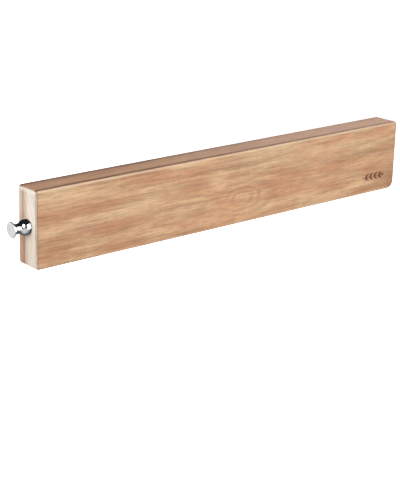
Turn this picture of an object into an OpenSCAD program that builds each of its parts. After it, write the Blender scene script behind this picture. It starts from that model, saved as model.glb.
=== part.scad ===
// Wooden magnetic knife rack: a bar glued up from two boards, with two rows of block
// magnets behind a thin front skin, keyhole hangers let into its back, and a turned
// hanging peg screwed into its left end.
//
// Frame: the origin is the centre of the back face, which lies against the wall.
// +X runs along the bar to the right as seen from the front, +Y into the wall, +Z up.

/* [Bar] */
// Length of the wooden bar
bar_length = 356; // [290:1:600]
// Height of the wooden bar
bar_height = 56.5; // [46:0.5:90]
// Depth of the bar, from the wall to the knives
bar_depth = 21.5; // [17.5:0.5:35]
// Thickness of the back board
back_board_t = 7; // [6.5:0.5:9]
// Chamfer round the front face
front_ease = 1.2; // [0.5:0.1:2.5]
// Chamfer round the back face
back_ease = 0.7; // [0.3:0.1:1.5]
// Radius of the bar's corners, seen from the front
corner_r = 2.4; // [1:0.1:5]
// Radius of the lower right corner, which is sanded rounder than the others
sanded_corner_r = 6; // [1:0.5:10]

/* [Magnets] */
// Wood left between the magnets and the knives
skin = 2; // [1.5:0.1:3]
// Distance between the centre lines of the two rows
row_spacing = 24; // [21:0.5:26]
// Length of one block magnet
magnet_length = 36; // [20:1:60]
// Height of one block magnet
magnet_height = 15; // [10:0.5:18]
// Least gap between two magnets of a row
magnet_gap = 3.5; // [2:0.5:10]
// Thickness of the steel strip behind a row
strip_t = 2; // [1:0.5:3]
// Play round the magnets and strips in their groove
groove_clearance = 0.2; // [0.1:0.05:0.5]
// Space left behind the steel strip for glue
glue_gap = 0.5; // [0.2:0.1:1]
// Solid wood kept at each end of a groove
end_wall = 18.5; // [17:0.5:24]

/* [Hangers] */
// Distance between the two keyholes
hanger_spacing = 240; // [120:1:240]
// Thickness of a hanger plate
plate_t = 1.5; // [1:0.1:1.6]
// Width of a hanger plate, which has round ends
plate_width = 18; // [16:0.5:20]
// Height of a hanger plate
plate_height = 42; // [40:0.5:43]
// How far a plate lies below the back face
plate_set_back = 0.2; // [0.1:0.1:0.3]
// Play between a plate and its recess
plate_clearance = 0.2; // [0.1:0.05:0.4]
// Diameter of the entry hole for the wall screw's head
entry_d = 9; // [8:0.1:10]
// Width of the slot that the wall screw's neck slides up
slot_width = 4.6; // [4.2:0.1:5]
// How far the wall screw slides from the entry hole to the slot's end
keyhole_travel = 10; // [6:0.5:11]
// Height of the entry hole's centre
entry_z = -4; // [-5:0.5:-3]
// Space round the wall screw's head behind the plate
head_room = 0.5; // [0.2:0.1:1]
// Depth of the pocket behind a plate
pocket_depth = 4.3; // [4.2:0.1:4.4]
// Diameter of the small screws that hold a plate
screw_d = 3; // [2:0.1:3.2]
// Diameter of their countersunk heads
screw_head_d = 6; // [4:0.1:6.4]
// Length of those screws
screw_length = 6; // [4:0.5:6]
// Width of the cross recess in their heads
driver_width = 0.7; // [0.4:0.1:1]
// Span of the cross recess
driver_span = 3.6; // [2.5:0.1:3.8]
// Depth of the cross recess
driver_depth = 0.9; // [0.5:0.1:0.9]
// Distance between the two screws of a plate
screw_spacing = 33; // [32:0.5:34]
// Play between a screw and its plate
screw_clearance = 0.1; // [0.05:0.05:0.2]

/* [Peg] */
// Distance from the glue line to the peg's axis
peg_from_joint = 4.25; // [4:0.05:6]
// Height of the peg's axis above the bar's middle
peg_z = 1; // [-8:0.5:8]
// Length of the peg, from the washer to the head's face
peg_length = 13; // [12:0.5:20]
// Diameter of the ball next to the wood
ball_d = 11.5; // [9:0.1:13]
// Distance from the washer to the ball's centre
ball_centre = 1.8; // [1:0.1:2.5]
// Diameter of the waist
waist_d = 7.2; // [6:0.1:8]
// Diameter of the head
head_d = 11.4; // [9:0.1:14]
// Thickness of the head's rim
rim_t = 0.9; // [0.5:0.1:2]
// Length of the flare under the head
flare_length = 3.6; // [2:0.1:5]
// Chamfer on the head's edges
rim_ease = 0.25; // [0.1:0.05:0.4]
// Diameter of the threaded stud
stud_d = 4; // [3:0.1:4.8]
// Pitch of the stud's thread
thread_pitch = 0.7; // [0.5:0.05:0.8]
// Depth of the stud's thread
thread_depth = 0.4; // [0.2:0.05:0.45]
// Stud length inside the peg
stud_in_peg = 7; // [5:0.5:8]
// Stud length inside the insert
stud_in_insert = 9.5; // [6:0.5:9.5]
// Play between the stud and the insert's bore, on each side
stud_clearance = 0.05; // [0.02:0.01:0.1]
// Wall of the brass insert
insert_wall = 1.2; // [1:0.1:1.3]
// Length of the brass insert
insert_length = 10; // [10:0.5:12]
// How far the insert lies below the end face
insert_set_back = 0.3; // [0:0.1:1]
// Empty depth behind the insert
insert_relief = 2; // [1:0.5:3]
// Thickness of the washer under the peg
washer_t = 0.5; // [0.3:0.1:1]
// How much smaller the washer is than the peg's foot, on each side
washer_inset = 0.4; // [0.2:0.1:1]
// Play between the washer and the stud, on each side
washer_clearance = 0.2; // [0.1:0.05:0.3]

/* [Sprig mark] */
// Length of the engraved stem
stem_length = 23; // [14:0.5:32]
// Width of the engraved stem
stem_width = 0.6; // [0.4:0.1:1.2]
// Pairs of leaves along the stem
leaf_pairs = 4; // [1:1:6]
// Length of one leaf
leaf_length = 5.5; // [3:0.5:8]
// Width of one leaf
leaf_width = 1.9; // [1:0.1:3]
// Angle between a leaf and the stem
leaf_angle = 30; // [15:1:60]
// Depth of the engraving
mark_depth = 0.3; // [0.2:0.1:0.5]
// Distance from the bar's right end to the mark's centre
mark_from_end = 26; // [22:1:40]
// Height of the mark's centre above the bar's lower edge
mark_from_bottom = 13.5; // [10:0.5:20]

/* [Hidden] */
$fn = 64;
// A cut runs this far past the face that it opens
over = 1;

// Faces of the bar along Y
joint_y = -back_board_t;
front_y = -bar_depth;

// Grooves and what lies in them
groove_length = bar_length - 2 * end_wall;
groove_height = magnet_height + 2 * groove_clearance;
groove_floor_y = front_y + skin;
strip_length = groove_length - 2 * groove_clearance;
strip_back_y = joint_y - glue_gap;
magnet_back_y = strip_back_y - strip_t;
magnet_t = magnet_back_y - groove_floor_y;
magnet_count = floor((strip_length + magnet_gap) / (magnet_length + magnet_gap));
magnet_pitch = magnet_count > 1 ? (strip_length - magnet_length) / (magnet_count - 1) : 0;
ROWS = ["upper", "lower"];

// Hangers, from the back face inwards
SIDES = ["left", "right"];
plate_back_y = -plate_set_back;
plate_front_y = plate_back_y - plate_t;
pocket_floor_y = plate_front_y - pocket_depth;
recess_step = (plate_height - plate_width) / 2;

// Peg
end_x = -bar_length / 2;
peg_y = joint_y - peg_from_joint;
ball_r = ball_d / 2;
waist_r = waist_d / 2;
head_r = head_d / 2;
foot_r = sqrt(ball_r * ball_r - ball_centre * ball_centre);
flare_step = head_r - waist_r;
flare_r = (flare_length * flare_length + flare_step * flare_step) / (2 * flare_step);
flare_start = peg_length - rim_t - flare_length;
stud_r = stud_d / 2;
stud_length = stud_in_insert + washer_t + stud_in_peg;
thread_turns = floor(stud_length / thread_pitch);
// A turn's flanks each take this share of the pitch, and so does its crest
flank = thread_pitch * 0.3;
insert_bore_r = stud_r + stud_clearance;
insert_r = insert_bore_r + insert_wall;
insert_hole_depth = insert_set_back + insert_length + insert_relief;

// Radius of the two arcs that meet at a leaf's ends
leaf_r = (leaf_length * leaf_length + leaf_width * leaf_width) / (4 * leaf_width);
// Distance along the stem from one pair of leaves to the next
leaf_step = stem_length / (leaf_pairs + 0.5);

WOOD = "#cfa27a";
BACK_WOOD = "#b98763";
FERRITE = "#3a3a3c";
STEEL = "#a9adb0";
BRASS = "#c9a24d";
CHROME = "#d6d9dc";
NYLON = "#e8e6df";

function strip_name(row) = str(row, "_steel_strip");
function magnet_name(row, i) = str(row, "_magnet_", i);
function plate_name(side) = str(side, "_hanger_plate");
function row_z(row) = (row == "upper" ? 1 : -1) * row_spacing / 2;
function magnet_x(i) = (i - 1 - (magnet_count - 1) / 2) * magnet_pitch;
function hanger_x(side) = (side == "left" ? -1 : 1) * hanger_spacing / 2;

// A box centred on X and Z, from y_low to y_high
module slab(length, height, y_low, y_high) {
    translate([-length / 2, y_low, -height / 2]) cube([length, y_high - y_low, height]);
}

// The bar's outline seen from the front: a rectangle less its corners, with an arc in each
module bar_outline() {
    corners = [[-1, -1, corner_r], [1, -1, sanded_corner_r], [1, 1, corner_r], [-1, 1, corner_r]];
    difference() {
        square([bar_length, bar_height], center = true);
        for (c = corners)
            translate([c[0] * bar_length / 2, c[1] * bar_height / 2]) square(2 * c[2], center = true);
    }
    for (c = corners)
        translate([c[0] * (bar_length / 2 - c[2]), c[1] * (bar_height / 2 - c[2])]) circle(r = c[2]);
}

// Upright slot with half-round ends, its end circles step away from the middle
module stadium(radius, low_z, high_z) {
    translate([-radius, low_z]) square([2 * radius, high_z - low_z]);
    for (z = [low_z, high_z]) translate([0, z]) circle(r = radius);
}

// Extrudes an outline drawn in X and Z from y_low to y_high
module along_y(y_low, y_high) {
    translate([0, y_high, 0]) rotate([90, 0, 0]) linear_extrude(y_high - y_low) children();
}

// Outline across the bar: a half width on X and its Y faces, each face with its own chamfer
module eased_section(half, y_low, y_high, low_ease, high_ease) {
    polygon([
        [-half + low_ease, y_low], [half - low_ease, y_low], [half, y_low + low_ease],
        [half, y_high - high_ease], [half - high_ease, y_high], [-half + high_ease, y_high],
        [-half, y_high - high_ease], [-half, y_low + low_ease]
    ]);
}

// A board of the bar's full length and height, with its outer edges eased
module board(y_low, y_high, low_ease, high_ease) {
    intersection() {
        along_y(y_low, y_high) bar_outline();
        linear_extrude(bar_height, center = true)
            eased_section(bar_length / 2, y_low, y_high, low_ease, high_ease);
        rotate([0, 90, 0]) linear_extrude(bar_length, center = true)
            eased_section(bar_height / 2, y_low, y_high, low_ease, high_ease);
    }
}

// Places what follows on the peg's axis at the end face, with +Z pointing out of the wood
module on_peg_axis(out = 0) {
    translate([end_x - out, peg_y, peg_z]) rotate([0, -90, 0]) children();
}

// A leaf along X from its stalk at the origin: two arcs that meet at both ends
module leaf_outline() {
    translate([leaf_length / 2, 0]) intersection() {
        translate([0, leaf_r - leaf_width / 2]) circle(r = leaf_r);
        translate([0, leaf_width / 2 - leaf_r]) circle(r = leaf_r);
    }
}

// A straight stem with pairs of leaves along it and one leaf at its tip
module sprig_outline() {
    translate([-stem_length / 2, -stem_width / 2]) square([stem_length, stem_width]);
    for (pair = [0 : leaf_pairs - 1], side = [-1, 1])
        translate([(pair + 0.5) * leaf_step - stem_length / 2, 0])
            rotate([0, 0, side * leaf_angle]) leaf_outline();
    translate([stem_length / 2 - leaf_step / 2, 0]) leaf_outline();
}

module sprig_cut() {
    translate([bar_length / 2 - mark_from_end, 0, mark_from_bottom - bar_height / 2])
        along_y(front_y - over, front_y + mark_depth) sprig_outline();
}

module front_board() {
    color(WOOD) difference() {
        board(front_y, joint_y, front_ease, 0);
        for (row = ROWS) translate([0, 0, row_z(row)])
            slab(groove_length, groove_height, groove_floor_y, joint_y + over);
        on_peg_axis(over) translate([0, 0, -insert_hole_depth - over])
            cylinder(r = insert_r, h = insert_hole_depth + 2 * over);
        sprig_cut();
    }
}

module plate_outline(grow = 0) {
    stadium(plate_width / 2 + grow, -recess_step, recess_step);
}

module screw_places(side) {
    for (z = [-1, 1]) translate([hanger_x(side), 0, z * screw_spacing / 2]) children();
}

// A countersunk cone as deep as the plate, wide at the back face, then a straight hole
module screw_shape(grow, length) {
    translate([0, plate_back_y, 0]) rotate([90, 0, 0]) {
        cylinder(r1 = screw_head_d / 2 + grow, r2 = screw_d / 2 + grow, h = plate_t);
        translate([0, 0, plate_t - 0.01]) cylinder(r = screw_d / 2 + grow, h = length - plate_t + 0.01);
    }
}

module back_board() {
    color(BACK_WOOD) difference() {
        board(joint_y, 0, 0, back_ease);
        for (side = SIDES) {
            translate([hanger_x(side), 0, 0]) {
                along_y(plate_front_y, over) plate_outline(plate_clearance);
                along_y(pocket_floor_y, over)
                    stadium(entry_d / 2 + head_room, entry_z, entry_z + keyhole_travel);
            }
            screw_places(side) rotate([90, 0, 0])
                cylinder(r = screw_d / 2, h = plate_set_back + screw_length);
        }
    }
}

module steel_strip(row) {
    color(STEEL) translate([0, 0, row_z(row)])
        slab(strip_length, magnet_height, magnet_back_y, strip_back_y);
}

module magnet(row, i) {
    color(FERRITE) translate([magnet_x(i), 0, row_z(row)])
        slab(magnet_length, magnet_height, groove_floor_y, magnet_back_y);
}

module hanger_plate(side) {
    color(STEEL) difference() {
        translate([hanger_x(side), 0, 0]) along_y(plate_front_y, plate_back_y) difference() {
            plate_outline();
            translate([0, entry_z]) circle(d = entry_d);
            stadium(slot_width / 2, entry_z, entry_z + keyhole_travel);
        }
        screw_places(side) screw_shape(screw_clearance, screw_length);
    }
}

module hanger_screw() {
    difference() {
        screw_shape(0, screw_length);
        for (turn = [0, 90]) rotate([0, turn, 0])
            slab(driver_span, driver_width, plate_back_y - driver_depth, over);
    }
}

module hanger_screws() {
    color(STEEL) for (side = SIDES) screw_places(side) hanger_screw();
}

module peg_insert() {
    color(BRASS) on_peg_axis() translate([0, 0, -insert_set_back - insert_length]) difference() {
        cylinder(r = insert_r, h = insert_length);
        translate([0, 0, -over]) cylinder(r = insert_bore_r, h = insert_length + 2 * over);
    }
}

// Half outline of the stud: radius on X, length on Y, with one crest for each turn
module stud_profile() {
    polygon(concat(
        [[0, 0]],
        [for (turn = [0 : thread_turns - 1], corner = [0 : 3])
            [stud_r - (corner % 3 == 0 ? thread_depth : 0), turn * thread_pitch + corner * flank]],
        [[stud_r - thread_depth, stud_length], [0, stud_length]]
    ));
}

module peg_stud() {
    color(STEEL) on_peg_axis() translate([0, 0, -stud_in_insert]) rotate_extrude() stud_profile();
}

module peg_washer() {
    color(NYLON) on_peg_axis() difference() {
        cylinder(r = foot_r - washer_inset, h = washer_t);
        translate([0, 0, -over]) cylinder(r = stud_r + washer_clearance, h = washer_t + 2 * over);
    }
}

// Half outline of the peg: radius on X, distance from the washer on Y
module peg_profile() {
    intersection() {
        union() {
            translate([0, ball_centre]) circle(r = ball_r);
            square([waist_r, peg_length - rim_t]);
            difference() {
                translate([0, flare_start]) square([head_r, flare_length]);
                translate([waist_r + flare_r, flare_start]) circle(r = flare_r);
            }
            translate([0, peg_length - rim_t]) polygon([
                [0, 0], [head_r, 0], [head_r, rim_t - rim_ease], [head_r - rim_ease, rim_t], [0, rim_t]
            ]);
        }
        square([ball_r + head_r, peg_length]);
    }
}

module peg() {
    color(CHROME) on_peg_axis(washer_t) difference() {
        rotate_extrude() peg_profile();
        translate([0, 0, -over]) cylinder(r = stud_r, h = stud_in_peg + over);
    }
}

front_board();
back_board();
for (row = ROWS) {
    steel_strip(row);
    for (i = [1 : magnet_count])
        magnet(row, i);
}
for (side = SIDES)
    hanger_plate(side);
hanger_screws();
peg_insert();
peg_stud();
peg_washer();
peg();
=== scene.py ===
"""Magnetic knife rack: two glued boards, block magnets, keyhole hangers and a turned hanging peg."""

import logging
import math
from dataclasses import dataclass, field
from enum import Enum
from typing import Callable, Sequence

import bmesh
import bpy
from mathutils import Matrix, Vector


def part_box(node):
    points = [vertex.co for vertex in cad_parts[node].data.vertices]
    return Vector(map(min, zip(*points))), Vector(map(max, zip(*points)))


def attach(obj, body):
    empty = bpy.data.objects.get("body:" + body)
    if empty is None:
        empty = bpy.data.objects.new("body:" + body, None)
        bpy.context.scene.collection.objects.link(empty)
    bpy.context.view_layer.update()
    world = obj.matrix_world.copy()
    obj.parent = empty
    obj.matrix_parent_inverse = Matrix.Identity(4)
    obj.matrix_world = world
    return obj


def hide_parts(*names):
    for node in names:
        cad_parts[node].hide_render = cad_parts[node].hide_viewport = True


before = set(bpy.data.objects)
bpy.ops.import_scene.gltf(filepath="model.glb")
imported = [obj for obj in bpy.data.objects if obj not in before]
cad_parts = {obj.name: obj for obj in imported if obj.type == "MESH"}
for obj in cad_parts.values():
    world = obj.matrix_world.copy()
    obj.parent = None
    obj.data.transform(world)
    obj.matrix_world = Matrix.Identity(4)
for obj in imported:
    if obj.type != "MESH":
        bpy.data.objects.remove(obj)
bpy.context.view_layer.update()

log = logging.getLogger("rack")

MM = 0.001
SAME = 1e-6  # places closer than this, in metres, are the same
TURN = 2 * math.pi
Colour = tuple[float, float, float, float]
Outline = list[tuple[float, float]]
Pair = tuple[float, float]
Triple = tuple[float, float, float]
Socket = bpy.types.NodeSocket


def tint(code: str) -> Colour:
    """Turns a six-digit colour code into a linear colour.

    Args:
        code: The colour as written on a swatch, such as "d9b48c".

    Returns:
        The linear red, green, blue and alpha.
    """
    parts = [int(code[i : i + 2], 16) / 255 for i in (0, 2, 4)]
    linear = [p / 12.92 if p <= 0.04045 else ((p + 0.055) / 1.055) ** 2.4 for p in parts]
    return (linear[0], linear[1], linear[2], 1.0)


def along(points: int, start: float, stop: float) -> list[float]:
    """Gives evenly spaced values from start to stop.

    Args:
        points: How many values, both ends included.
        start: The first value.
        stop: The last value.

    Returns:
        The values in order.
    """
    return [start + (stop - start) * i / (points - 1) for i in range(points)]


# ------------------------------------------------------------------ the bench


@dataclass
class Work:
    """One mesh on the bench, shaped with the edit tools and finished with applied modifiers."""

    obj: bpy.types.Object

    @staticmethod
    def clear_bench() -> None:
        """Leaves edit mode and deselects everything."""
        if bpy.context.object and bpy.context.object.mode != "OBJECT":
            bpy.ops.object.mode_set(mode="OBJECT")
        bpy.ops.object.select_all(action="DESELECT")

    @classmethod
    def _take(cls, name: str) -> "Work":
        """Names the newest object and fixes its place in its mesh.

        Args:
            name: The name of the object and its mesh.

        Returns:
            The object, ready to be shaped.
        """
        obj = bpy.context.object
        obj.name = name
        obj.data.name = name
        bpy.ops.object.transform_apply(location=True, rotation=True, scale=True)
        return cls(obj)

    @classmethod
    def block(cls, name: str, low: Vector, high: Vector) -> "Work":
        """Adds a block between two corners.

        Args:
            name: The piece's name.
            low: Its lowest corner, in metres.
            high: Its highest corner, in metres.

        Returns:
            The block, ready to be shaped.
        """
        cls.clear_bench()
        bpy.ops.mesh.primitive_cube_add(size=1, location=(low + high) / 2, scale=high - low)
        return cls._take(name)

    @classmethod
    def rod(cls, name: str, centre: Vector, radius: float, depth: float, sides: int = 48) -> "Work":
        """Adds a round rod that lies along Y.

        Args:
            name: The piece's name.
            centre: Its middle, in metres.
            radius: Its radius, in metres.
            depth: Its length along Y, in metres.
            sides: How many sides it has.

        Returns:
            The rod, ready to be shaped.
        """
        cls.clear_bench()
        bpy.ops.mesh.primitive_cylinder_add(
            vertices=sides, radius=radius, depth=depth, location=centre, rotation=(math.pi / 2, 0, 0)
        )
        return cls._take(name)

    @classmethod
    def slot(cls, name: str, centre: Vector, radius: float, depth: float, rise: float) -> "Work":
        """Adds an upright slot shape with half-round ends, its upper half moved up.

        Args:
            name: The piece's name.
            centre: The middle of its lower arc, in metres.
            radius: The radius of both arcs, in metres.
            depth: Its length along Y, in metres.
            rise: How far its upper arc stands above the lower one, in metres.

        Returns:
            The slot shape, ready to be shaped.
        """
        made = cls.rod(name, centre, radius, depth, sides=64)
        made.pick_verts(lambda v: v.co.z > centre.z + radius * 0.01)
        bpy.ops.transform.translate(value=(0, 0, rise))
        made.clear_bench()
        return made

    @classmethod
    def turned(cls, name: str, outline: Outline, foot: Vector, steps: int = 96) -> "Work":
        """Turns an outline round an axis that runs towards -X, as on a lathe.

        Args:
            name: The piece's name.
            outline: Pairs of distance from the foot and radius, in millimetres.
            foot: The point of the axis that distances start from, in metres.
            steps: How many steps make the full turn.

        Returns:
            The turned shape, with its seam and poles merged.
        """
        points = [foot + Vector((-distance * MM, 0, radius * MM)) for distance, radius in outline]
        cls.clear_bench()
        bpy.ops.mesh.primitive_plane_add(size=MM, location=points[0])
        made = cls._take(name)
        made.shrink_to_point()
        for before, after in zip(points, points[1:]):
            bpy.ops.mesh.extrude_region_move(TRANSFORM_OT_translate={"value": after - before})
        bpy.ops.mesh.select_all(action="SELECT")
        bpy.ops.mesh.spin(steps=steps, angle=TURN, center=foot, axis=(1, 0, 0))
        made.clear_bench()
        made.tidy()
        return made

    def activate(self) -> None:
        """Makes this the one selected object."""
        self.clear_bench()
        self.obj.select_set(True)
        bpy.context.view_layer.objects.active = self.obj

    def _pick(self, kind: str, wanted: Callable) -> None:
        """Enters edit mode and selects the elements of one kind that are wanted.

        Args:
            kind: The elements' kind: "verts", "edges" or "faces".
            wanted: The test that an element has to pass.
        """
        self.activate()
        bpy.ops.object.mode_set(mode="EDIT")
        bpy.ops.mesh.select_mode(type={"verts": "VERT", "edges": "EDGE", "faces": "FACE"}[kind])
        bpy.ops.mesh.select_all(action="DESELECT")
        mesh = bmesh.from_edit_mesh(self.obj.data)
        mesh.normal_update()
        for element in getattr(mesh, kind):
            if wanted(element):
                element.select_set(True)
        bmesh.update_edit_mesh(self.obj.data)

    def pick_verts(self, wanted: Callable[[bmesh.types.BMVert], bool]) -> None:
        """Selects the vertices that a test accepts, in edit mode."""
        self._pick("verts", wanted)

    def pick_edges(self, wanted: Callable[[bmesh.types.BMEdge], bool]) -> None:
        """Selects the edges that a test accepts, in edit mode."""
        self._pick("edges", wanted)

    def pick_faces(self, wanted: Callable[[bmesh.types.BMFace], bool]) -> None:
        """Selects the faces that a test accepts, in edit mode."""
        self._pick("faces", wanted)

    def shrink_to_point(self) -> None:
        """Merges the whole mesh into one vertex, selected in edit mode and ready to be drawn from."""
        self.pick_verts(lambda v: True)
        bpy.ops.mesh.merge(type="CENTER")

    def round_edges(
        self, wanted: Callable[[bmesh.types.BMEdge], bool], radius: float, segments: int
    ) -> None:
        """Rounds the edges that a test accepts.

        Args:
            wanted: The test that an edge has to pass.
            radius: The rounding's radius, in metres.
            segments: How many faces make the rounding.
        """
        self.pick_edges(wanted)
        bpy.ops.mesh.bevel(offset=radius, segments=segments, profile=0.5, affect="EDGES")
        self.clear_bench()

    def modify(self, kind: str, **settings: object) -> None:
        """Adds a modifier, sets its options and applies it.

        Args:
            kind: The modifier's type.
            settings: Its options by name.
        """
        self.activate()
        bpy.ops.object.modifier_add(type=kind)
        modifier = self.obj.modifiers[-1]
        for key, value in settings.items():
            setattr(modifier, key, value)
        bpy.ops.object.modifier_apply(modifier=modifier.name)

    def ease_all(self, radius: float, segments: int = 2, sharper_than: float = 40) -> None:
        """Breaks every sharp edge with a small rounding.

        Args:
            radius: The rounding's radius, in metres.
            segments: How many faces make the rounding.
            sharper_than: The least angle between two faces, in degrees.
        """
        self.modify(
            "BEVEL", width=radius, segments=segments, limit_method="ANGLE",
            angle_limit=math.radians(sharper_than), use_clamp_overlap=True,
        )

    def _combine(self, other: "Work", operation: str) -> None:
        """Applies a boolean with another shape, which is then thrown away.

        Args:
            other: The other shape.
            operation: The boolean's type.
        """
        self.modify(
            "BOOLEAN", operation=operation, object=other.obj, solver="EXACT", material_mode="TRANSFER"
        )
        other.discard()

    def cut(self, *cutters: "Work") -> None:
        """Takes each cutter's shape out of this one."""
        for cutter in cutters:
            self._combine(cutter, "DIFFERENCE")

    def keep_common(self, other: "Work") -> None:
        """Keeps only what this shape shares with another."""
        self._combine(other, "INTERSECT")

    def discard(self) -> None:
        """Removes the shape and its mesh."""
        mesh = self.obj.data
        bpy.data.objects.remove(self.obj)
        bpy.data.meshes.remove(mesh)

    def tilt(self, about: Vector, axis: str, angle: float) -> None:
        """Turns the whole shape about a point.

        Args:
            about: The point it turns about, in metres.
            axis: The axis it turns round, "X", "Y" or "Z".
            angle: The angle, in degrees, by the right-hand rule.
        """
        turn = Matrix.Rotation(math.radians(angle), 4, axis)
        self.activate()
        self.obj.matrix_world = Matrix.Translation(about) @ turn @ Matrix.Translation(-about)
        bpy.ops.object.transform_apply(location=True, rotation=True, scale=True)

    def tidy(self) -> None:
        """Merges doubles and points every face outwards."""
        self.pick_faces(lambda f: True)
        bpy.ops.mesh.remove_doubles(threshold=SAME)
        bpy.ops.mesh.select_all(action="SELECT")
        bpy.ops.mesh.normals_make_consistent(inside=False)
        self.clear_bench()

    def smooth(self, angle: float = 32) -> None:
        """Shades gentle edges smooth and keeps flat faces flat.

        Args:
            angle: Edges sharper than this stay sharp, in degrees.
        """
        self.activate()
        bpy.ops.object.shade_smooth_by_angle(angle=math.radians(angle))
        self.modify("WEIGHTED_NORMAL", keep_sharp=True)

    def dress(self, *finishes: bpy.types.Material) -> None:
        """Puts finishes in the shape's material slots, in order.

        Args:
            finishes: The materials.
        """
        self.obj.data.materials.clear()
        for finish in finishes:
            self.obj.data.materials.append(finish)

    def paint_faces(self, wanted: Callable[[bmesh.types.BMFace], bool], index: int) -> None:
        """Gives the faces that a test accepts another material slot.

        Args:
            wanted: The test that a face has to pass.
            index: The slot's place in the list.
        """
        self.pick_faces(wanted)
        self.obj.active_material_index = index
        bpy.ops.object.material_slot_assign()
        self.clear_bench()

    def copy(self, name: str, shift: Vector) -> "Work":
        """Copies the shape with a mesh of its own.

        Args:
            name: The copy's name.
            shift: How far the copy stands from this one, in metres.

        Returns:
            The copy.
        """
        self.activate()
        bpy.ops.object.duplicate(linked=False)
        bpy.ops.transform.translate(value=shift)
        return self._take(name)

    def install(self, body: str, slot: str, *nodes: str) -> None:
        """Rides the piece on its body in place of the nodes that it stands for.

        Args:
            body: The body that the piece moves with.
            slot: The record's material slot; not used.
            nodes: The frame's nodes that it stands for.
        """
        self.clear_bench()
        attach(self.obj, body)
        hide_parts(*nodes)
        log.info("%s: %d faces, rides on %s", self.obj.name, len(self.obj.data.polygons), body)


# ---------------------------------------------------------------- the wiring


@dataclass(frozen=True)
class Cloud:
    """A noise pattern: its lumps' size, how many finer layers it has, and the values it spans."""

    size: Triple
    detail: float = 2
    low: float = 0.0
    high: float = 1.0
    rough: float = 0.5


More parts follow.
